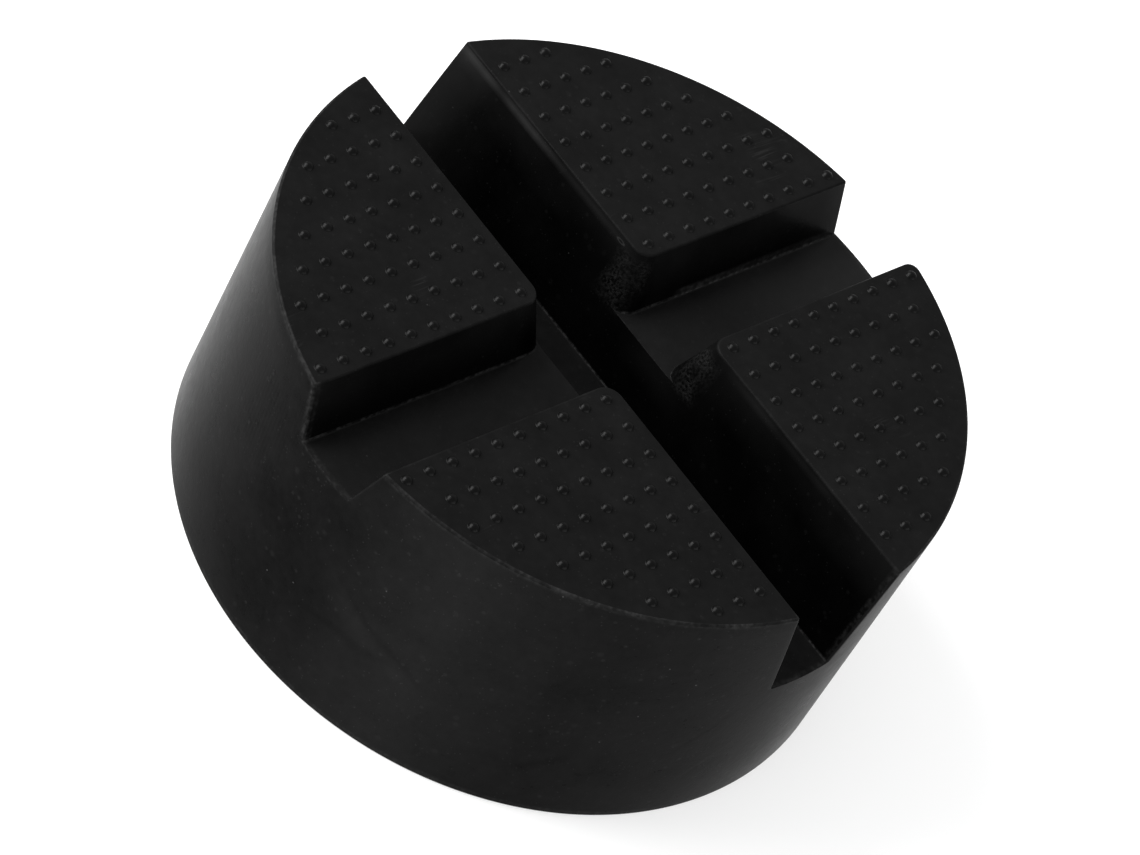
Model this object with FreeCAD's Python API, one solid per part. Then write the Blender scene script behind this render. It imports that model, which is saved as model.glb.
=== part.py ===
import FreeCAD, Part
import math
import os

# A slotted rubber jack pad, moulded in one piece: a round block whose top face has two
# crossing slots and rows of small grip dots. Lengths are in millimetres. The origin is the
# centre of the base, +Z points up, the deep slot runs along Y and the cross slot along X.

# The block
pad_diameter = 100.0
pad_height = 44.7
side_draft = 0.25            # the base radius is smaller than the top radius by this
base_bevel = 0.5             # taken off the lower rim
top_bevel = 0.35             # taken off the edges of the four quarters of the top face

# The deep slot
deep_top_width = 18.7
deep_floor_width = 10.4
deep_depth = 17.6

# The shallow cross slot
cross_top_width = 15.3
cross_floor_width = 9.9
cross_depth = 8.8

# The upright corners of the four quarters
inner_corner_radius = 2.5    # where the two slots cross
outer_corner_bevel = 0.5     # where a slot runs out through the side

# The grip dots, in columns beside the deep slot and rows beside the cross slot
dot_diameter = 1.8
dot_height = 0.55
dot_sides = 8
dot_column_pitch = 3.913
dot_row_pitch = 4.803
dot_column_gap = 2.5         # from the edge of the deep slot to the first column's centres
dot_row_gap = 2.0            # from the edge of the cross slot to the first row's centres
dot_rim_gap = 0.75           # least flat between a dot and the rim of the top face

# A cutter goes on past the block by overrun, and a dot starts dot_root below the top face
overrun = 5.0
dot_root = 0.3

# Points nearer to each other than this count as one point
touch = 0.001

top_radius = pad_diameter / 2
base_radius = top_radius - side_draft
centre = FreeCAD.Vector(0, 0, 0)
upward = FreeCAD.Vector(0, 0, 1)


def polygon_face(corners):
    return Part.Face(Part.makePolygon(corners + corners[:1]))


def block():
    """The round block before its slots are cut."""
    corners = [
        FreeCAD.Vector(0, 0, 0),
        FreeCAD.Vector(base_radius - base_bevel, 0, 0),
        FreeCAD.Vector(base_radius, 0, base_bevel),
        FreeCAD.Vector(top_radius, 0, pad_height),
        FreeCAD.Vector(0, 0, pad_height),
    ]
    return polygon_face(corners).revolve(centre, upward, 360)


def slot_prism(top_width, floor_width, depth):
    """The space of a slot along Y, longer than the block and open above it."""
    slope = (top_width - floor_width) / 2 / depth
    half_mouth = top_width / 2 + slope * overrun
    half_floor = floor_width / 2
    start = -top_radius - overrun
    floor_z = pad_height - depth
    mouth_z = pad_height + overrun
    section = [
        FreeCAD.Vector(-half_floor, start, floor_z),
        FreeCAD.Vector(half_floor, start, floor_z),
        FreeCAD.Vector(half_mouth, start, mouth_z),
        FreeCAD.Vector(-half_mouth, start, mouth_z),
    ]
    return polygon_face(section).extrude(FreeCAD.Vector(0, -2 * start, 0))


def end_bevels(top_width, floor_width, depth):
    """The four wedges that bevel the upright corners at the ends of a slot along Y."""
    ends = []
    for half_width, z in ((top_width / 2, pad_height), (floor_width / 2, pad_height - depth)):
        rim = math.sqrt(top_radius ** 2 - half_width ** 2)
        ends.append(FreeCAD.Vector(half_width, rim - outer_corner_bevel, z))
    top, foot = ends
    start = top + (top - foot) * (overrun / depth)
    wedge = polygon_face([
        start,
        start + FreeCAD.Vector(overrun, overrun, 0),
        start + FreeCAD.Vector(-overrun, overrun, 0),
    ]).extrude(foot - start)
    pair = [wedge, wedge.mirror(centre, FreeCAD.Vector(1, 0, 0))]
    return pair + [solid.mirror(centre, FreeCAD.Vector(0, 1, 0)) for solid in pair]


def slot_cutters(top_width, floor_width, depth, turn):
    """All that a slot takes away, turned about the block's axis by an angle in degrees."""
    cutters = [slot_prism(top_width, floor_width, depth)] + end_bevels(top_width, floor_width, depth)
    for cutter in cutters:
        cutter.rotate(centre, upward, turn)
    return cutters


def crossing_edges(shape):
    """The four upright edges between the walls of one slot and the walls of the other."""
    edges = []
    for edge in shape.Edges:
        low, high = sorted((edge.firstVertex().Point, edge.lastVertex().Point), key=lambda point: point.z)
        upright = high.z > pad_height - touch and low.z < pad_height - touch
        if upright and math.hypot(high.x, high.y) < top_radius / 2:
            edges.append(edge)
    return edges


def top_outlines(shape):
    """The edges round the four quarters of the top face."""
    quarters = [face for face in shape.Faces if face.BoundBox.ZMin > pad_height - touch]
    return [edge for face in quarters for edge in face.OuterWire.Edges]


def slotted_block():
    deep = slot_cutters(deep_top_width, deep_floor_width, deep_depth, 0)
    cross = slot_cutters(cross_top_width, cross_floor_width, cross_depth, 90)
    solid = block().cut(deep + cross)
    solid = solid.makeFillet(inner_corner_radius, crossing_edges(solid))
    return solid.makeChamfer(top_bevel, top_outlines(solid))


def dot_ring(radius, z):
    """The corners of one level of a dot, with the first repeated at the end."""
    turns = [2 * math.pi * side / dot_sides for side in range(dot_sides + 1)]
    return [FreeCAD.Vector(radius * math.cos(turn), radius * math.sin(turn), z) for turn in turns]


def dot():
    """One grip dot: a low dome of flat facets over z = 0, with its root below."""
    radius = dot_diameter / 2
    ball = (radius ** 2 + dot_height ** 2) / (2 * dot_height)
    tilt = math.asin(radius / ball) / 2
    shoulder = dot_ring(ball * math.sin(tilt), dot_height - ball + ball * math.cos(tilt))
    rings = [dot_ring(radius, -dot_root), dot_ring(radius, 0), shoulder]
    crown = FreeCAD.Vector(0, 0, dot_height)
    faces = [polygon_face(rings[0][:-1])]
    for side in range(dot_sides):
        for lower, upper in zip(rings, rings[1:]):
            faces.append(polygon_face([lower[side], lower[side + 1], upper[side + 1], upper[side]]))
        faces.append(polygon_face([shoulder[side], shoulder[side + 1], crown]))
    return Part.Solid(Part.Shell(faces))


def dot_places():
    """The centres of the dots that find room on the quarter where X and Y are positive."""
    reach = top_radius - dot_rim_gap - dot_diameter / 2
    places = []
    y = cross_top_width / 2 + dot_row_gap
    while y < reach:
        x = deep_top_width / 2 + dot_column_gap
        while math.hypot(x, y) < reach:
            places.append((x, y))
            x += dot_column_pitch
        y += dot_row_pitch
    return places


def grip_dots():
    """The dots of all four quarters, each in its place on the top face."""
    pattern = dot()
    dots = []
    for x, y in dot_places():
        for place in ((x, y), (-x, y), (-x, -y), (x, -y)):
            copy = pattern.copy()
            copy.translate(FreeCAD.Vector(*place, pad_height))
            dots.append(copy)
    return dots


def main():
    dots = grip_dots()
    pad = slotted_block().fuse(dots)
    print(len(dots), "dots,", len(pad.Solids), "solid, volume", round(pad.Volume, 1))
    os.makedirs("parts", exist_ok=True)
    pad.Solids[0].exportStep("parts/jack_pad.step")


main()
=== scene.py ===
from collections import namedtuple
import math

import bmesh
import bpy
from mathutils import Matrix, Quaternion, Vector
from mathutils.geometry import delaunay_2d_cdt


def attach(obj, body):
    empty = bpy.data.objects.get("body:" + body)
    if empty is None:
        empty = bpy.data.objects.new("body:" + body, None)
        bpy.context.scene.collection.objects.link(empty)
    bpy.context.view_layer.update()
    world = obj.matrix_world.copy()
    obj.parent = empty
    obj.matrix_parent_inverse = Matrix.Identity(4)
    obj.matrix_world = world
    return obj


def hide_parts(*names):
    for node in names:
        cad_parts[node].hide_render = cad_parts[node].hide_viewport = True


# The slotted rubber jack pad of the frame, dressed as moulded black rubber on a white floor.
# Lengths are in metres. Angles are in radians, unless a comment says degrees. The origin is the
# centre of the pad's base, +Z points up, the deep slot runs along Y and the cross slot along X.

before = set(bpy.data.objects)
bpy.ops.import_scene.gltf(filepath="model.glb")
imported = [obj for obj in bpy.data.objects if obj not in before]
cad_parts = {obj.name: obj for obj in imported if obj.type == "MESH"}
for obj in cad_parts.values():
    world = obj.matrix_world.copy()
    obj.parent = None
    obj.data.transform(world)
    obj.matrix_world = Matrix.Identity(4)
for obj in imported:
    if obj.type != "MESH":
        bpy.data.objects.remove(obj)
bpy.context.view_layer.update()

mm = 0.001
degree = math.pi / 180

# The block, as in the CAD
pad_radius = 50.0 * mm
pad_height = 44.7 * mm
side_draft = 0.25 * mm
base_rounding = 0.5 * mm

# The slots, as in the CAD: half widths at the top face and at the floor, and the floor's height
deep_slot = {"top": 9.35 * mm, "floor": 5.2 * mm, "floor_z": 27.1 * mm}
cross_slot = {"top": 7.65 * mm, "floor": 4.95 * mm, "floor_z": 35.9 * mm}

# The roundings of the edges. One outer corner of the cross slot is worn rounder than the rest.
top_rounding = 0.35 * mm
foot_rounding = 0.3 * mm
lip_rounding = 0.15 * mm
inner_corner = 2.5 * mm
outer_corner = 0.38 * mm
worn_corner = 1.5 * mm
worn_quarter = (1, -1)

# The grip dots. The gaps are from the slots' edges to the first dots' centres, and from the rim
# to the last ones.
dot_radius = 0.84 * mm
dot_height = 0.55 * mm
dot_foot = 0.1 * mm
dot_column_pitch = 3.913 * mm
dot_row_pitch = 4.803 * mm
dot_column_gap = 2.5 * mm
dot_row_gap = 2.0 * mm
dot_reach_gap = 1.65 * mm

# How finely each stretch of the mesh is divided
rim_steps = 90
wall_steps = 10
outer_steps = 5
inner_steps = 10
end_steps = 12
rounding_steps = 6
straight_steps = 3
dot_sides = 24
dot_foot_steps = 3
dot_cap_steps = 5

# Points nearer than weld_distance become one. A fill tells points apart down to fill_distance.
weld_distance = 0.001 * mm
fill_distance = weld_distance / 100

# A face that lies level is shaded flat, and an edge sharper than sharp_angle stays sharp
level_slope = 0.9999
sharp_angle = 50 * degree

# How a face's place and slope tell which area of the pad it belongs to
top_margin = 0.001 * mm
side_margin = 0.3 * mm
base_slope = -0.5
floor_slope = 0.8

# The camera, found from the places of the dots and the outline in the photograph. The lens and
# the sensor are in millimetres.
camera_lens = 151.73
camera_sensor = 36.0
camera_aim = Vector((-20.70, -10.43, 44.70)) * mm
camera_bearing = -151.951 * degree
camera_elevation = 45.101 * degree
camera_distance = 625.34 * mm
camera_roll = 30.897 * degree
camera_shift = (0.00753, -0.00357)
camera_near = 0.01
camera_far = 20.0

# The studio: the floor, which lies just under the base, and a world that is paler overhead
floor_gap = 0.02 * mm
floor_opening = pad_radius - 2 * mm
floor_radius = 4.0
floor_grey = (0.5, 0.5, 0.5, 1)
low_grey = (0.5, 0.5, 0.5, 1)
white = (1, 1, 1, 1)
overhead_level = 0.6

# The lamps. Each stretches between two directions, given as bearing and elevation in degrees.
lamp_distance = 1.0
lamps = [
    {"name": "window", "start": (150, 26), "end": (84, 44), "width": 0.6, "radiance": 12},
    {"name": "low_front", "start": (225, 20), "end": (300, 16), "width": 0.3, "radiance": 3.5},
]

# A band is full as far as plain from its middle and fades to nothing at reach. A span is the low
# and the high end of a stretch that something changes over. Patches are noise, in cells a metre,
# whose levels from low to high stand for the strengths from start to end.
Band = namedtuple("Band", "middle plain reach")
Patches = namedtuple("Patches", "scale detail low high start end")
SideMark = namedtuple("SideMark", "bearing height climb reach width tone")

# Noise lies round its middle level, from nought to one
noise_middle = 0.5

# The rubber itself: noise as cells a metre and detail, and the spans of it that are used
blotch_noise = (130, 5.0)
mottle_noise = (700, 5.0)
grain_noise = (2600, 3.0)
blotch_span = (0.35, 0.65)
mottle_span = (0.3, 0.7)
mottle_range = (0.88, 1.12)
mottle_relief = 2.0
gloss_span = (0.75, 1.25)
least_tone = 0.0004

# Dust: cells a metre, size as a share of a cell, share of the cells, and brightness
dust = [
    (1100, 0.13, 0.2, 0.014),
    (2000, 0.25, 0.12, 0.012),
    (420, 0.06, 0.15, 0.045),
    (800, 0.3, 0.1, 0.005),
    (500, 0.3, 0.06, 0.003),
]
speck_core = 0.5              # the share of a speck's size that is full

# The marks of moulding and wear, and the painted light and shade, lie over the rubber's own tone.
# A mark's tone is the share of the light that it adds, or takes away where it is below nought.

# Crumbs break up the worn edges and the scraps of flash, and the rest have patches of their own
crumb_patches = Patches(1500, 5.0, 0.42, 0.7, 0.15, 1)
wear_patches = Patches(260, 3.0, 0.35, 0.65, 0.3, 1.3)
# light_patches make the painted light on the slots' walls uneven
light_patches = Patches(70, 3.0, 0.35, 0.65, 0.4, 1.6)

# The side, where bearings are in degrees from -X, anticlockwise: a painted sheen, a paler band round the
# bearing that faces the camera
painted_sheen_bearings = Band(28.0, 0, 20.0)
painted_sheen_tone = 0.0055

# Flow marks and one broad painted shade: bearing, height there, climb a degree, reach in degrees, width and
# tone
flow_marks_and_shade = [
    # The first is painted shade, a broad darkening of the side round bearing -14 over nearly its full
    # height
    SideMark(-14, 22.0 * mm, 0.0 * mm, 30, 90.0 * mm, -0.0040),
    SideMark(23, 23.9 * mm, 0.02 * mm, 11, 1.5 * mm, -0.0012),
    SideMark(17, 15.9 * mm, 0.12 * mm, 10, 1.2 * mm, -0.0016),
    SideMark(21, 19.6 * mm, -0.38 * mm, 12, 1.0 * mm, -0.0019),
    SideMark(20, 17.6 * mm, -0.38 * mm, 13, 2.2 * mm, 0.0016),
    SideMark(-4, 22.7 * mm, 0.0 * mm, 9, 5.0 * mm, -0.0006),
    SideMark(52, 10.7 * mm, 0.6 * mm, 5, 1.6 * mm, -0.002),
    SideMark(76, 20.0 * mm, 1.1 * mm, 8, 0.9 * mm, -0.0015),
    SideMark(80, 12.0 * mm, 0.9 * mm, 7, 0.8 * mm, 0.0025),
]
flow_noise = (150, 3.0)
flow_waver = 2.5 * mm
flow_plain_share = 0.4

# Fine lines on the side. Their wave runs on by so many radians a degree, and a metre of height.
lines_bearings = Band(-19, 4, 14)
lines_heights = Band(31 * mm, 4 * mm, 9 * mm)
wave_a_degree = 7.0
wave_a_metre = 900
lines_tone = 0.0008

# Wear along the upper and lower edge of the side and at the ends of the cross slot's floor
edge_wear_tone = 0.012
side_rim = Band(pad_height, 0.35 * mm, 0.9 * mm)
side_foot = Band(0.8 * mm, 0.2 * mm, 0.5 * mm)
cross_end_heights = Band(cross_slot["floor_z"], 0.15 * mm, 0.45 * mm)
cross_end_reach = Band(0, 5 * mm, 5.3 * mm)

# A worn upright corner at the near end of the cross slot, in a band beside the slot's mouth
corner_edge = Band(0.4 * mm, 0.2 * mm, 0.8 * mm)
corner_bearings = Band(-8, 3, 5)
corner_heights = (35 * mm, 36 * mm)
corner_wear_tone = 0.016

# The edges of the top face are worn along the rim, and less on the far side. Even wear is what
# lies between the crumbs.
rim_wear_span = (pad_radius - 1.2 * mm, pad_radius - 0.6 * mm)
rim_wear_inside = 0.1
far_side_span = (15 * mm, 45 * mm)
far_side_wear = 0.3
even_wear = 0.15

# Scratches on the top face: the direction of each set, and how much of the face it covers. They
# run where stretched noise passes its middle level, inside patches with fading edges.
scratch_sets = [(0.5, 0.36), (2.2, 0.34)]
scratch_stretch = (50, 1100, 50)
scratch_noise = (1.0, 1.0)
scratch_width = 0.03
scratch_patch_noise = (90, 2.0)
scratch_patch_fade = 0.1
scratch_tone = 0.005

# A painted glint where a small pit would be, high on a wall of the deep slot, which has no pit in its
# shape: its middle, its half sizes and the ring of the glint
pit_y = 12.0 * mm
pit_z = 43.65 * mm
pit_half_length = 0.9 * mm
pit_half_height = 0.28 * mm
pit_glint_ring = Band(0.75, 0.05, 0.35)
pit_glint_tone = 0.011

# On the far side, the walls of the slots are painted paler towards their open ends, as light that reaches
# in there; on the near side, crumbs lie along the ends.
# Far and near are as the camera sees them, and plus_x_span tells the walls where X is positive from the
# others.
far_half_span = (-5 * mm, 5 * mm)
far_end_span = (pad_radius - 8 * mm, pad_radius)
far_end_light_tone = 0.0022
near_end_span = (pad_radius - 1.3 * mm, pad_radius - 0.9 * mm)
near_end_tone = 0.007
plus_x_span = (0, 1 * mm)

# Painted light on the walls: high up, towards +Y and on the cross slot's walls; and a paler patch under the
# edge of the cross slot's floor
slot_top_span = (pad_height - 7 * mm, pad_height)
slot_top_light_tone = 0.002
slot_back_span = (34 * mm, 48 * mm)
slot_back_light_tone = 0.002
cross_wall_span = (11 * mm, 13 * mm)
cross_wall_light_tone = 0.001
under_lip_heights = Band(34.8 * mm, 0.6 * mm, 3.5 * mm)
under_lip_reach = Band(-4 * mm, 2 * mm, 8 * mm)
under_lip_tone = 0.0015

# Painted highlights just under the top face: a pale patch at the +Y end, and a strip where X is positive
plus_y_highlight_heights = Band(pad_height - 1.2 * mm, 0.4 * mm, 2.2 * mm)
plus_y_highlight_span = (41 * mm, 47 * mm)
plus_y_highlight_tone = 0.0035
under_edge_heights = Band(pad_height - 0.9 * mm, 0.1 * mm, 0.9 * mm)
under_edge_far_span = (8 * mm, 40 * mm)
under_edge_near = Band(-26 * mm, 5 * mm, 16 * mm)
under_edge_near_share = 0.22
under_edge_highlight_tone = 0.011

# Flash at the feet of the walls, wider along the cross slot from flash_start outwards. Even flash
# is what lies between the crumbs.
deep_foot = Band(deep_slot["floor_z"], 0.15 * mm, 0.35 * mm)
cross_foot = Band(cross_slot["floor_z"] + 0.15 * mm, 0.15 * mm, 0.25 * mm)
beside_cross = Band(0, 5.6 * mm, 5.8 * mm)
foot_tone = 0.02
flash_start = 17.6 * mm
flash_heights = Band(cross_slot["floor_z"] + 0.45 * mm, 0.45 * mm, 0.9 * mm)
flash_begin_span = (flash_start - 0.5 * mm, flash_start + 1.5 * mm)
flash_thin_span = (flash_start, pad_radius)
flash_thinnest = 0.25
flash_even = 0.25
flash_crumbs = 1.3
flash_tone = 0.017

# The floors of the slots: flash at their ends, and paler towards +X
floor_end_span = (pad_radius - 1.0 * mm, pad_radius - 0.4 * mm)
floor_end_tone = 0.008
floor_paler_span = (22 * mm, 48 * mm)
floor_paler_tone = 0.005

# The two rough mould corners
erosion_across = Band(deep_slot["top"] - 0.4 * mm, 1.4 * mm, 3.0 * mm)
erosion_along = Band(cross_slot["top"] + 0.9 * mm, 1.3 * mm, 3.3 * mm)
erosion_heights = Band(39.4 * mm, 3.5 * mm, 4.3 * mm)
erosion_grains = Patches(2200, 1.5, 0.35, 0.65, 0, 1)
erosion_patches = Patches(400, 2.0, 0.35, 0.6, 0.3, 1)
erosion_depth = 10.0
erosion_tone = 0.006

origin = Vector((0, 0))
quarter_signs = [(1, 1), (-1, 1), (-1, -1), (1, -1)]


def inset(distance, rounding):
    """How far a rounded edge has drawn a face in at a distance from the edge's level."""
    if distance >= rounding:
        return 0
    turn = math.acos(1 - max(distance, 0) / rounding)
    return rounding * (1 - math.sin(turn))


def side_radius(z):
    drafted = pad_radius - side_draft * (1 - z / pad_height)
    return drafted - inset(pad_height - z, top_rounding) - inset(z, base_rounding)


def wall_half(z, slot):
    """Half the width of a slot at a height, with the roundings of its top edge and its foot."""
    depth = pad_height - slot["floor_z"]
    run = slot["top"] - slot["floor"]
    lean = math.atan2(depth, run)
    below_top = max(pad_height - z, 0)
    above_floor = max(z - slot["floor_z"], 0)
    if below_top < top_rounding * (1 - math.cos(lean)):
        turn = math.acos(1 - below_top / top_rounding)
        return slot["top"] + top_rounding * (math.tan(lean / 2) - math.sin(turn))
    if above_floor < foot_rounding * (1 - math.cos(lean)):
        turn = math.acos(1 - above_floor / foot_rounding)
        return slot["floor"] - foot_rounding * (math.tan(lean / 2) - math.sin(turn))
    return slot["floor"] + run * above_floor / depth


def spread(start, end, steps):
    """Even steps from start up to, but not at, end."""
    return [start + (end - start) * step / steps for step in range(steps)]


def arc(centre, radius, start, end, steps):
    turns = spread(start, end, steps)
    return [centre + radius * Vector((math.cos(turn), math.sin(turn))) for turn in turns]


def bearing(point):
    return math.atan2(point.y, point.x)


class Quarter:
    """The outline of a quarter of the pad, drawn where X and Y are positive, at one height.

    Each stretch of it runs anticlockwise and leaves its last point to the next stretch.
    """

    def __init__(self, z, cross_corner=outer_corner):
        self.radius = side_radius(z)
        self.outer = outer_corner - inset(pad_height - z, top_rounding)
        self.worn = cross_corner - inset(pad_height - z, top_rounding)
        self.inner = inner_corner - inset(pad_height - z, top_rounding)
        self.deep = wall_half(z, deep_slot)
        self.cross = wall_half(z, cross_slot)
        deep = self.deep + self.outer
        cross = self.cross + self.worn
        self.at_deep = Vector((deep, math.sqrt((self.radius - self.outer) ** 2 - deep ** 2)))
        self.at_cross = Vector((math.sqrt((self.radius - self.worn) ** 2 - cross ** 2), cross))
        self.crossing = Vector((self.deep, self.cross + self.inner))
        self.on_y = Vector((0, self.radius))
        self.lip_inset = inset(cross_slot["floor_z"] - z, lip_rounding)
        self.lip_middle = Vector((self.deep + self.lip_inset, 0))

    def cross_end(self):
        return arc(origin, self.radius, 0, bearing(self.at_cross), end_steps)

    def rim(self):
        return arc(origin, self.radius, bearing(self.at_cross), bearing(self.at_deep), rim_steps)

    def deep_end(self):
        return arc(origin, self.radius, bearing(self.at_deep), math.pi / 2, end_steps)

    def deep_wall(self):
        corner = arc(self.at_deep, self.outer, bearing(self.at_deep), math.pi, outer_steps)
        return corner + spread(Vector((self.deep, self.at_deep.y)), self.crossing, wall_steps)

    def lip(self):
        """The edge of the cross slot's floor over the deep slot, rounded between the corners."""
        points = spread(self.crossing, Vector((self.deep, 0)), end_steps)
        for point in points:
            point.x += self.lip_inset * min((self.crossing.y - point.y) / self.inner, 1) ** 2
        return points

    def cross_wall(self):
        centre = Vector((self.deep + self.inner, self.cross + self.inner))
        corner = arc(centre, self.inner, math.pi, 1.5 * math.pi, inner_steps)
        end = arc(self.at_cross, self.worn, -math.pi / 2, bearing(self.at_cross), outer_steps)
        wall = spread(Vector((centre.x, self.cross)), Vector((self.at_cross.x, self.cross)), wall_steps)
        return corner + wall + end

    def below_slots(self):
        return self.cross_end() + self.rim() + self.deep_end() + [self.on_y]

    def beside_deep_slot(self):
        return self.cross_end() + self.rim() + self.deep_wall() + self.lip() + [self.lip_middle]

    def above_slots(self):
        return self.rim() + self.deep_wall() + self.cross_wall()

    def deep_floor(self):
        end = [origin, self.on_y] + list(reversed(self.deep_end()[1:]))
        return self.deep_wall() + self.lip() + [self.lip_middle] + end

    def cross_floor(self):
        start = [self.lip_middle] + list(reversed(self.lip()))
        end = [self.rim()[0]] + list(reversed(self.cross_end()))
        return start + self.cross_wall()[1:] + end


def heights(low, high, foot, top):
    """Heights between two levels, closer together in the roundings at either end."""
    turns = spread(0, math.pi / 2, rounding_steps) + [math.pi / 2]
    foot_levels = [low + foot * (1 - math.cos(turn)) for turn in turns] if foot else [low]
    top_levels = [high - top * (1 - math.cos(turn)) for turn in reversed(turns)] if top else [high]
    return foot_levels + spread(foot_levels[-1], top_levels[0], straight_steps)[1:] + top_levels


def add_faces(mesh, signs, points, faces):
    """Adds faces, given as places in the list of points, to the quarter with these signs."""
    corners = [mesh.verts.new((x * signs[0], y * signs[1], z)) for x, y, z in points]
    for face in faces:
        mesh.faces.new([corners[place] for place in face])


def add_wall(mesh, signs, outlines, levels):
    """Adds the quads between the outlines at successive heights."""
    width = len(outlines[0])
    points = []
    for outline, z in zip(outlines, levels):
        points += [(point.x, point.y, z) for point in outline]
    faces = []
    for low in range(len(points) - width):
        if (low + 1) % width:
            faces.append((low, low + 1, low + 1 + width, low + width))
    add_faces(mesh, signs, points, faces)


def add_level_face(mesh, signs, outline, z, holes=()):
    """Fills an outline at one height with triangles, and leaves out the round holes in it."""
    points = []
    edges = []
    owners = []
    for number, loop in enumerate([outline, *holes]):
        first = len(points)
        points += loop
        owners += [number] * len(loop)
        edges += [(first + place, first + (place + 1) % len(loop)) for place in range(len(loop))]
    inside_only = 1
    found = delaunay_2d_cdt(points, edges, [], inside_only, fill_distance)
    corners, triangles, sources = found[0], found[2], found[3]
    kept = []
    for triangle in triangles:
        loops = {owners[sources[corner][0]] for corner in triangle}
        if len(loops) > 1 or 0 in loops:
            kept.append(tuple(triangle))
    add_faces(mesh, signs, [(corner.x, corner.y, z) for corner in corners], kept)


def dot_profile():
    """Radius and height of the rings of a grip dot, from its foot on the top face upwards."""
    ball = (dot_radius ** 2 + dot_height ** 2) / (2 * dot_height)
    ball_z = dot_height - ball
    reach = math.sqrt((ball + dot_foot) ** 2 - (dot_foot - ball_z) ** 2)
    steepest = math.asin(reach / (ball + dot_foot))
    rings = []
    for slope in spread(0, steepest, dot_foot_steps):
        rings.append((reach - dot_foot * math.sin(slope), dot_foot * (1 - math.cos(slope))))
    for slope in spread(steepest, 0, dot_cap_steps):
        rings.append((ball * math.sin(slope), ball_z + ball * math.cos(slope)))
    return rings


def dot_ring(centre, radius):
    return arc(centre, radius, 0, 2 * math.pi, dot_sides)


def dot_places():
    """The centres of the dots that find room on the quarter where X and Y are positive."""
    reach = pad_radius - dot_reach_gap
    places = []
    y = cross_slot["top"] + dot_row_gap
    while y < reach:
        x = deep_slot["top"] + dot_column_gap
        while math.hypot(x, y) < reach:
            places.append(Vector((x, y)))
            x += dot_column_pitch
        y += dot_row_pitch
    return places


def add_dot(mesh, signs, centre):
    """Adds one grip dot over its hole in the top face."""
    points = []
    for radius, height in dot_profile():
        points += [(point.x, point.y, pad_height + height) for point in dot_ring(centre, radius)]
    crown = len(points)
    last_ring = crown - dot_sides
    faces = []
    for low in range(crown):
        row = low - low % dot_sides
        beside = row + (low + 1) % dot_sides
        if row == last_ring:
            faces.append((low, beside, crown))
        else:
            faces.append((low, beside, beside + dot_sides, low + dot_sides))
    points.append((centre.x, centre.y, pad_height + dot_height))
    add_faces(mesh, signs, points, faces)


def add_quarter(mesh, signs):
    """Adds the quarter of the pad where X and Y have these signs."""
    deep_z = deep_slot["floor_z"]
    cross_z = cross_slot["floor_z"]
    low_levels = heights(0, deep_z, base_rounding, 0)
    middle_levels = heights(deep_z, cross_z, foot_rounding, lip_rounding)
    upper_levels = heights(cross_z, pad_height, foot_rounding, top_rounding)
    cross_corner = worn_corner if signs == worn_quarter else outer_corner
    below = [Quarter(z, cross_corner).below_slots() for z in low_levels]
    beside = [Quarter(z, cross_corner).beside_deep_slot() for z in middle_levels]
    around = [Quarter(z, cross_corner).above_slots() for z in upper_levels]
    add_wall(mesh, signs, below, low_levels)
    add_wall(mesh, signs, beside, middle_levels)
    add_wall(mesh, signs, [outline + outline[:1] for outline in around], upper_levels)

    add_level_face(mesh, signs, below[0] + [origin], 0)
    add_level_face(mesh, signs, Quarter(deep_z, cross_corner).deep_floor(), deep_z)
    add_level_face(mesh, signs, Quarter(cross_z, cross_corner).cross_floor(), cross_z)
    places = dot_places()
    foot_radius = dot_profile()[0][0]
    holes = [dot_ring(place, foot_radius) for place in places]
    add_level_face(mesh, signs, around[-1], pad_height, holes)
    for place in places:
        add_dot(mesh, signs, place)


def make_pad():
    """The whole pad as one closed mesh."""
    mesh = bmesh.new()
    for signs in quarter_signs:
        add_quarter(mesh, signs)
    bmesh.ops.remove_doubles(mesh, verts=mesh.verts, dist=weld_distance)
    bmesh.ops.recalc_face_normals(mesh, faces=mesh.faces)
    data = bpy.data.meshes.new("jack_pad_rubber")
    mesh.to_mesh(data)
    mesh.free()
    pad = bpy.data.objects.new("jack_pad_rubber", data)
    bpy.context.collection.objects.link(pad)
    data.shade_smooth()
    data.set_sharp_from_angle(angle=sharp_angle)
    for name in area_names:
        data.materials.append(rubber_material(name))
    for face in data.polygons:
        face.material_index = area_names.index(area_of(face.center, face.normal))
        face.use_smooth = abs(face.normal.z) < level_slope
    return pad


def shader_node(tree, kind, inputs=None, **settings):
    """A new shader node with its settings, and with its inputs set or linked by name or place."""
    made = tree.nodes.new(kind)
    for name, value in settings.items():
        setattr(made, name, value)
    for name, value in (inputs or {}).items():
        if isinstance(value, bpy.types.NodeSocket):
            tree.links.new(value, made.inputs[name])
        else:
            made.inputs[name].default_value = value
    return made


def reckon(tree, operation, first, second=0.0):
    """One sum with two numbers, each a plain number or the output of a node."""
    return shader_node(tree, "ShaderNodeMath", {0: first, 1: second}, operation=operation).outputs[0]


def product(tree, *factors):
    """The product of any number of numbers or number outputs."""
    result = factors[0]
    for factor in factors[1:]:
        result = reckon(tree, "MULTIPLY", result, factor)
    return result


def total(tree, *parts):
    """The sum of any number of numbers or number outputs."""
    result = parts[0]
    for part in parts[1:]:
        result = reckon(tree, "ADD", result, part)
    return result


def rescale(tree, value, span, start, end):
    """The value taken from a span into the range from start to end, and held there."""
    return shader_node(tree, "ShaderNodeMapRange", {
        "Value": value, "From Min": span[0], "From Max": span[1], "To Min": start, "To Max": end,
    }).outputs["Result"]


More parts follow.
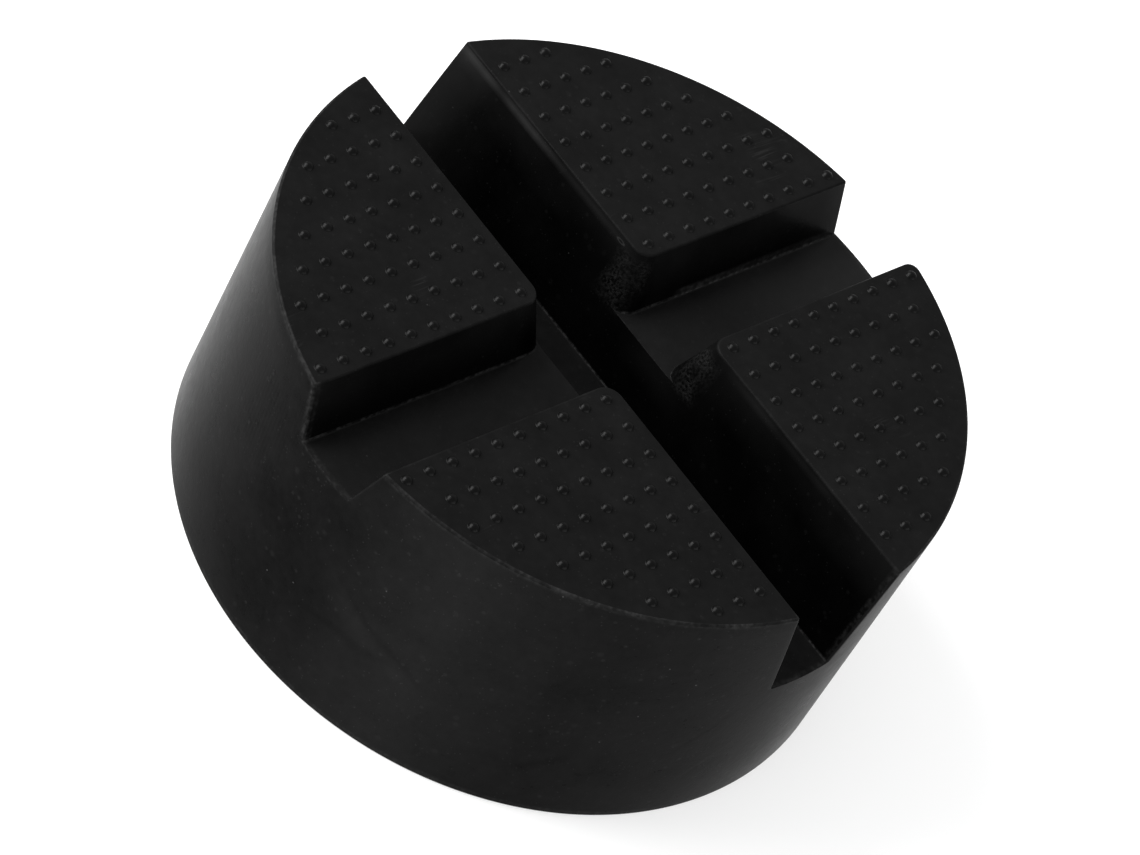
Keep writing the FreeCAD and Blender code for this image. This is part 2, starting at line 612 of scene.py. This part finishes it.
def near(tree, value, band):
    """One inside a band, falling to nought at its reach."""
    away = reckon(tree, "ABSOLUTE", reckon(tree, "SUBTRACT", value, band.middle))
    return rescale(tree, away, (band.plain, band.reach), 1, 0)


def noise(tree, place, scale, detail):
    return shader_node(tree, "ShaderNodeTexNoise", {
        "Vector": place, "Scale": scale, "Detail": detail,
    }).outputs["Fac"]


def patchy(tree, place, patches):
    """The strength of uneven patches."""
    levels = noise(tree, place, patches.scale, patches.detail)
    return rescale(tree, levels, (patches.low, patches.high), patches.start, patches.end)


def crumbs(tree, place):
    """Uneven grains, for edges that are worn or carry scraps of flash."""
    return patchy(tree, place, crumb_patches)


def specks(tree, place, scale, size, share):
    """One inside small specks, scattered over a share of the cells, and nought elsewhere."""
    cells = shader_node(tree, "ShaderNodeTexVoronoi", {"Vector": place, "Scale": scale})
    chance = shader_node(tree, "ShaderNodeSeparateColor", {"Color": cells.outputs["Color"]}).outputs["Red"]
    inside = rescale(tree, cells.outputs["Distance"], (speck_core * size, size), 1, 0)
    return product(tree, inside, reckon(tree, "LESS_THAN", chance, share))


def scratches(tree, place, turn, share):
    """One along thin lines that run roughly one way across the top face."""
    along = shader_node(tree, "ShaderNodeMapping", {
        "Vector": place, "Rotation": (0, 0, turn), "Scale": scratch_stretch,
    }).outputs["Vector"]
    offset = reckon(tree, "SUBTRACT", noise(tree, along, *scratch_noise), noise_middle)
    line = rescale(tree, reckon(tree, "ABSOLUTE", offset), (0, scratch_width), 1, 0)
    patch_span = (1 - share, 1 - share + scratch_patch_fade)
    patches = rescale(tree, noise(tree, place, *scratch_patch_noise), patch_span, 0, 1)
    return product(tree, line, patches)


def parts_of(tree, place):
    return shader_node(tree, "ShaderNodeSeparateXYZ", {"Vector": place}).outputs


def from_axis(tree, place):
    """The distance of a place from the pad's axis."""
    parts = parts_of(tree, place)
    squares = [reckon(tree, "POWER", parts[name], 2.0) for name in ("X", "Y")]
    return reckon(tree, "SQRT", total(tree, *squares))


def towards_corner(tree, place):
    """X and Y added up, which grows from the side near the camera to the far side."""
    parts = parts_of(tree, place)
    return total(tree, parts["X"], parts["Y"])


def side_bearing(tree, place):
    """The bearing of a place from -X in degrees, anticlockwise."""
    parts = parts_of(tree, place)
    back_x = product(tree, parts["X"], -1.0)
    back_y = product(tree, parts["Y"], -1.0)
    return reckon(tree, "DIVIDE", reckon(tree, "ARCTAN2", back_y, back_x), degree)


def flow_and_shade_haze(tree, place, turn, height):
    """The flow marks on the side, each a line that climbs and wavers, and the first mark's broad painted
    shade.
    """
    offset = reckon(tree, "SUBTRACT", noise(tree, place, *flow_noise), noise_middle)
    waver = product(tree, offset, flow_waver)
    haze = 0.0
    for mark in flow_marks_and_shade:
        past = reckon(tree, "SUBTRACT", turn, mark.bearing)
        line = total(tree, product(tree, past, mark.climb), mark.height, waver)
        along = near(tree, turn, Band(mark.bearing, flow_plain_share * mark.reach, mark.reach))
        beside = near(tree, reckon(tree, "SUBTRACT", height, line), Band(0, 0, mark.width))
        haze = total(tree, haze, product(tree, along, beside, mark.tone))
    return haze


def line_haze(tree, turn, height):
    """The patch of fine lines on the side."""
    wave = total(tree, product(tree, turn, wave_a_degree), product(tree, height, wave_a_metre))
    patch = product(tree, near(tree, turn, lines_bearings), near(tree, height, lines_heights))
    return product(tree, reckon(tree, "SINE", wave), patch, lines_tone)


def corner_haze(tree, place, turn, height):
    """The worn upright corner at the near end of the cross slot."""
    heights_up = (cross_slot["floor_z"], pad_height)
    mouth = rescale(tree, height, heights_up, cross_slot["floor"], cross_slot["top"])
    from_mouth = reckon(tree, "SUBTRACT", parts_of(tree, place)["Y"], mouth)
    return product(
        tree, near(tree, from_mouth, corner_edge), near(tree, turn, corner_bearings),
        rescale(tree, height, corner_heights, 0, 1), crumbs(tree, place), corner_wear_tone)


def side_marks_and_sheen(tree, place):
    """The painted sheen, a paler band on the side towards the camera; its flow marks, painted shade and
    fine lines; and its worn edges.
    """
    turn = side_bearing(tree, place)
    parts = parts_of(tree, place)
    height = parts["Z"]
    # band is the painted sheen, paler round the bearing that faces the camera
    band = product(tree, near(tree, turn, painted_sheen_bearings), painted_sheen_tone)
    floor_end = product(
        tree, near(tree, height, cross_end_heights), near(tree, parts["Y"], cross_end_reach))
    edges = total(tree, near(tree, height, side_rim), near(tree, height, side_foot), floor_end)
    worn = product(tree, edges, crumbs(tree, place), edge_wear_tone)
    return total(
        tree, band, flow_and_shade_haze(tree, place, turn, height), line_haze(tree, turn, height), worn,
        corner_haze(tree, place, turn, height))


def edge_haze(tree, place):
    """The wear along the rim of the top face, and far less of it along the slots."""
    outward = rescale(tree, from_axis(tree, place), rim_wear_span, rim_wear_inside, 1)
    fading = rescale(tree, towards_corner(tree, place), far_side_span, 1, far_side_wear)
    worn = product(tree, total(tree, even_wear, crumbs(tree, place)), patchy(tree, place, wear_patches))
    return product(tree, worn, outward, fading, edge_wear_tone)


def top_haze(tree, place):
    """The scratches on the top face."""
    haze = 0.0
    for turn, share in scratch_sets:
        haze = total(tree, haze, product(tree, scratches(tree, place, turn, share), scratch_tone))
    return haze


def no_haze(tree, place):
    return 0.0


def pit_glint(tree, place):
    """A painted glint in a ring round the place of a small pit, high on the wall of the deep slot."""
    parts = parts_of(tree, place)
    along = reckon(tree, "DIVIDE", reckon(tree, "SUBTRACT", parts["Y"], pit_y), pit_half_length)
    down = reckon(tree, "DIVIDE", reckon(tree, "SUBTRACT", parts["Z"], pit_z), pit_half_height)
    far = reckon(tree, "SQRT", total(tree, product(tree, along, along), product(tree, down, down)))
    on_wall = rescale(tree, parts["X"], plus_x_span, 0, 1)
    return product(tree, near(tree, far, pit_glint_ring), on_wall, pit_glint_tone)


def slot_end_light_and_crumbs(tree, place):
    """The open ends of the slots: painted light on the far side, smooth, and crumbs on the near side."""
    far = from_axis(tree, place)
    farther = rescale(tree, towards_corner(tree, place), far_half_span, 0, 1)
    far_end_light = product(tree, rescale(tree, far, far_end_span, 0, far_end_light_tone), farther)
    near_rim = rescale(tree, far, near_end_span, 0, near_end_tone)
    near_ends = product(tree, near_rim, crumbs(tree, place), reckon(tree, "SUBTRACT", 1.0, farther))
    return total(tree, far_end_light, near_ends)


def slot_wall_light(tree, place, uneven):
    """The painted light on the walls of the slots, and a paler patch under the lip of the cross slot's
    floor.
    """
    parts = parts_of(tree, place)
    top_light = product(tree, rescale(tree, parts["Z"], slot_top_span, 0, slot_top_light_tone), uneven)
    back_light = rescale(tree, parts["Y"], slot_back_span, 0, slot_back_light_tone)
    from_crossing = reckon(tree, "ABSOLUTE", parts["X"])
    cross_wall_light = rescale(tree, from_crossing, cross_wall_span, 0, cross_wall_light_tone)
    under_lip = product(
        tree, near(tree, parts["Z"], under_lip_heights), near(tree, parts["Y"], under_lip_reach),
        under_lip_tone)
    return total(tree, top_light, back_light, cross_wall_light, under_lip)


def under_edge_highlight(tree, place, uneven):
    """The painted highlights on the walls just under the top face."""
    parts = parts_of(tree, place)
    plus_y_highlight = product(
        tree, near(tree, parts["Z"], plus_y_highlight_heights), rescale(tree, parts["Y"], plus_y_highlight_span, 0, 1),
        plus_y_highlight_tone)
    both_ways = total(
        tree, rescale(tree, parts["Y"], under_edge_far_span, 0, 1),
        product(tree, near(tree, parts["Y"], under_edge_near), under_edge_near_share))
    strip = product(
        tree, near(tree, parts["Z"], under_edge_heights), rescale(tree, parts["X"], plus_x_span, 0, 1),
        both_ways, uneven, under_edge_highlight_tone)
    return total(tree, plus_y_highlight, strip)


def flash_haze(tree, place):
    """The scraps of flash at the feet of the slots' walls."""
    parts = parts_of(tree, place)
    crossing = near(tree, parts["Y"], beside_cross)
    cross_feet = product(tree, near(tree, parts["Z"], cross_foot), crossing)
    feet = total(tree, near(tree, parts["Z"], deep_foot), cross_feet)
    scraps = total(tree, flash_even, product(tree, crumbs(tree, place), flash_crumbs))
    outwards = product(
        tree, rescale(tree, parts["X"], flash_begin_span, 0, 1),
        rescale(tree, parts["X"], flash_thin_span, 1, flash_thinnest))
    wide = product(
        tree, scraps, near(tree, parts["Z"], flash_heights), crossing, outwards, flash_tone)
    return total(tree, product(tree, feet, crumbs(tree, place), foot_tone), wide)


def slot_flash_and_light(tree, place):
    """The flash on the walls of the slots, the crumbs at their ends, and the painted light on them."""
    uneven = patchy(tree, place, light_patches)
    return total(
        tree, slot_end_light_and_crumbs(tree, place), slot_wall_light(tree, place, uneven),
        under_edge_highlight(tree, place, uneven), pit_glint(tree, place), flash_haze(tree, place))


def floor_haze(tree, place):
    """The scraps of flash at the ends of the slots' floors, and a paler tone towards +X."""
    at_ends = rescale(tree, from_axis(tree, place), floor_end_span, 0, 1)
    outward = rescale(tree, parts_of(tree, place)["X"], floor_paler_span, 0, floor_paler_tone)
    return total(tree, product(tree, at_ends, crumbs(tree, place), floor_end_tone), outward)


def erosion(tree, place):
    """The rough grains of the two mould corners that were cut by sparks."""
    parts = parts_of(tree, place)
    across = near(tree, parts["X"], erosion_across)
    along = near(tree, reckon(tree, "ABSOLUTE", parts["Y"]), erosion_along)
    upward = near(tree, parts["Z"], erosion_heights)
    grains = patchy(tree, place, erosion_grains)
    return product(tree, across, along, upward, grains, patchy(tree, place, erosion_patches))


# Tone and gloss are the ranges that the noise moves between, gloss being the roughness. Shine is
# the specular level, grain the depth of the bump in millimetres, and dust a share of its tones.
# The tones of the one rubber differ from area to area partly as painted light and shade: the dots and the
# slots' walls are painted darker, and the side paler, than the top face.
areas = {
    "top": {
        "haze": top_haze, "tone": (0.0030, 0.0041), "gloss": (0.2, 0.26), "shine": 0.03, "grain": 0.01,
        "dust": 0.3},
    # painted shade: the dots are darker than the top face's rubber
    "dots": {
        "haze": no_haze, "tone": (0.0008, 0.0014), "gloss": (0.29, 0.34), "shine": 0.066, "grain": 0.005,
        "dust": 0.2},
    "edge": {
        "haze": edge_haze, "tone": (0.003, 0.005), "gloss": (0.35, 0.5), "shine": 0.02, "grain": 0.03,
        "dust": 0.5},
    # painted light: the side is paler than the top face's rubber
    "side": {
        "haze": side_marks_and_sheen, "tone": (0.0050, 0.0066), "gloss": (0.27, 0.33), "shine": 0.013, "grain": 0.01,
        "dust": 1.0},
    # painted shade: the slots' walls are darker than the top face's rubber
    "slot": {
        "haze": slot_flash_and_light, "tone": (0.0005, 0.0010), "gloss": (0.2, 0.27), "shine": 0.011, "grain": 0.01,
        "dust": 0.25},
    "floor": {
        "haze": floor_haze, "tone": (0.0036, 0.0046), "gloss": (0.2, 0.27), "shine": 0.03, "grain": 0.01,
        "dust": 0.3},
    "base": {
        "haze": no_haze, "tone": (0.006, 0.012), "gloss": (0.4, 0.6), "shine": 0.03, "grain": 0.02,
        "dust": 1.0},
}
area_names = list(areas)


def area_of(middle, normal):
    """The name of the area that a face of the pad belongs to."""
    far = math.hypot(middle.x, middle.y)
    if middle.z < base_rounding and normal.z < base_slope:
        return "base"
    if middle.z > pad_height + top_margin:
        return "dots"
    if middle.z > pad_height - top_margin:
        return "top"
    if middle.z > pad_height - top_rounding:
        return "edge"
    if far > side_radius(middle.z) - side_margin and abs(normal.z) < floor_slope:
        return "side"
    return "floor" if normal.z > floor_slope else "slot"


def new_material(name):
    """A material with an empty node tree."""
    material = bpy.data.materials.new(name)
    material.use_nodes = True
    material.node_tree.nodes.clear()
    return material


def rubber_material(name):
    """Moulded rubber, with the tones, gloss and marks of one area of the pad."""
    area = areas[name]
    material = new_material("rubber_" + name)
    tree = material.node_tree
    place = shader_node(tree, "ShaderNodeTexCoord").outputs["Object"]
    blotches = noise(tree, place, *blotch_noise)
    mottling = noise(tree, place, *mottle_noise)
    grain = noise(tree, place, *grain_noise)
    own_tone = product(
        tree, rescale(tree, blotches, blotch_span, *area["tone"]),
        rescale(tree, mottling, mottle_span, *mottle_range))
    tone = total(tree, own_tone, area["haze"](tree, place))
    for scale, size, share, brightness in dust:
        grains = specks(tree, place, scale, size, share)
        tone = total(tree, tone, product(tree, grains, brightness * area["dust"]))
    gloss = rescale(tree, total(tree, blotches, mottling), gloss_span, *area["gloss"])
    relief = total(tree, grain, product(tree, mottling, mottle_relief))
    if name == "slot":
        eroded = erosion(tree, place)
        relief = total(tree, relief, product(tree, eroded, erosion_depth))
        tone = total(tree, tone, product(tree, eroded, erosion_tone))
    tone = reckon(tree, "MAXIMUM", tone, least_tone)
    colour = shader_node(tree, "ShaderNodeCombineColor", {"Red": tone, "Green": tone, "Blue": tone})
    bump = shader_node(tree, "ShaderNodeBump", {
        "Height": relief, "Strength": 1.0, "Distance": area["grain"] * mm})
    surface = shader_node(tree, "ShaderNodeBsdfPrincipled", {
        "Base Color": colour.outputs["Color"], "Roughness": gloss,
        "Normal": bump.outputs["Normal"], "Specular IOR Level": area["shine"]})
    shader_node(tree, "ShaderNodeOutputMaterial", {"Surface": surface.outputs["BSDF"]})
    return material


def toward(bearing_angle, elevation):
    """The direction with a bearing, anticlockwise from +X, and an elevation above the floor."""
    flat = math.cos(elevation)
    return Vector((flat * math.cos(bearing_angle), flat * math.sin(bearing_angle), math.sin(elevation)))


def make_camera():
    """The camera at the photograph's viewing angle, rolled as the photograph is."""
    back = toward(camera_bearing, camera_elevation)
    data = bpy.data.cameras.new("photo_camera")
    data.sensor_width = camera_sensor
    data.lens = camera_lens
    data.shift_x, data.shift_y = camera_shift
    data.clip_start = camera_near
    data.clip_end = camera_far
    camera = bpy.data.objects.new("photo_camera", data)
    camera.location = camera_aim + back * camera_distance
    camera.rotation_mode = "QUATERNION"
    roll = Quaternion((0, 0, 1), camera_roll)
    camera.rotation_quaternion = (-back).to_track_quat("-Z", "Y") @ roll
    bpy.context.collection.objects.link(camera)
    bpy.context.scene.camera = camera


def floor_material():
    """White to the camera and in reflections, darkened by the pad's shadow, and clear from below."""
    material = new_material("white_floor")
    tree = material.node_tree
    rays = shader_node(tree, "ShaderNodeLightPath").outputs
    seen = total(tree, rays["Is Camera Ray"], rays["Is Glossy Ray"], rays["Is Transmission Ray"])
    paint = shader_node(tree, "ShaderNodeBsdfDiffuse", {"Color": floor_grey})
    glow = shader_node(tree, "ShaderNodeEmission", {"Color": floor_grey, "Strength": seen})
    both = shader_node(tree, "ShaderNodeAddShader", {0: paint.outputs[0], 1: glow.outputs[0]})
    clear = shader_node(tree, "ShaderNodeBsdfTransparent")
    below = shader_node(tree, "ShaderNodeNewGeometry").outputs["Backfacing"]
    mix = shader_node(tree, "ShaderNodeMixShader", {0: below, 1: both.outputs[0], 2: clear.outputs[0]})
    shader_node(tree, "ShaderNodeOutputMaterial", {"Surface": mix.outputs[0]})
    return material


def make_floor():
    """A round floor, open under the pad so that light from below reaches the pad's base."""
    mesh = bmesh.new()
    rings = []
    for radius in (floor_opening, floor_radius):
        ring = arc(origin, radius, 0, 2 * math.pi, rim_steps)
        rings.append([mesh.verts.new((point.x, point.y, -floor_gap)) for point in ring])
    inner, outer = rings
    for place in range(rim_steps):
        after = (place + 1) % rim_steps
        mesh.faces.new((inner[place], outer[place], outer[after], inner[after]))
    data = bpy.data.meshes.new("floor")
    mesh.to_mesh(data)
    mesh.free()
    floor = bpy.data.objects.new("floor", data)
    data.materials.append(floor_material())
    bpy.context.collection.objects.link(floor)


def make_world():
    """Soft light that grows paler overhead, behind a background that is white to the camera."""
    world = bpy.data.worlds.new("studio")
    bpy.context.scene.world = world
    world.use_nodes = True
    tree = world.node_tree
    tree.nodes.clear()
    way = shader_node(tree, "ShaderNodeTexCoord").outputs["Generated"]
    level = shader_node(tree, "ShaderNodeValToRGB", {"Fac": parts_of(tree, way)["Z"]})
    low, overhead = level.color_ramp.elements
    low.position = 0.0
    low.color = low_grey
    overhead.position = overhead_level
    overhead.color = white
    camera_ray = shader_node(tree, "ShaderNodeLightPath").outputs["Is Camera Ray"]
    soft = shader_node(tree, "ShaderNodeBackground", {"Color": level.outputs["Color"], "Strength": 1.0})
    plain = shader_node(tree, "ShaderNodeBackground", {"Color": white, "Strength": 1.0})
    mix = shader_node(tree, "ShaderNodeMixShader", {0: camera_ray, 1: soft.outputs[0], 2: plain.outputs[0]})
    shader_node(tree, "ShaderNodeOutputWorld", {"Surface": mix.outputs[0]})


def make_lamp(lamp):
    """A long flat lamp that faces the pad and stretches from one direction to another."""
    start, end = [toward(turn * degree, rise * degree) for turn, rise in (lamp["start"], lamp["end"])]
    middle = (start + end).normalized()
    length = 2 * lamp_distance * math.tan(start.angle(end) / 2)
    along = (end - start).normalized()
    across = middle.cross(along)
    data = bpy.data.lights.new(lamp["name"], "AREA")
    data.shape = "RECTANGLE"
    data.size = length
    data.size_y = lamp["width"]
    data.energy = lamp["radiance"] * math.pi * length * lamp["width"]
    made = bpy.data.objects.new(lamp["name"], data)
    made.location = middle * lamp_distance
    made.rotation_mode = "QUATERNION"
    made.rotation_quaternion = Matrix((along, across, middle)).transposed().to_quaternion()
    bpy.context.collection.objects.link(made)


pad = make_pad()
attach(pad, "root")
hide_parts("jack_pad")
make_camera()
make_floor()
make_world()
for lamp in lamps:
    make_lamp(lamp)
bpy.context.scene.view_settings.view_transform = "Standard"
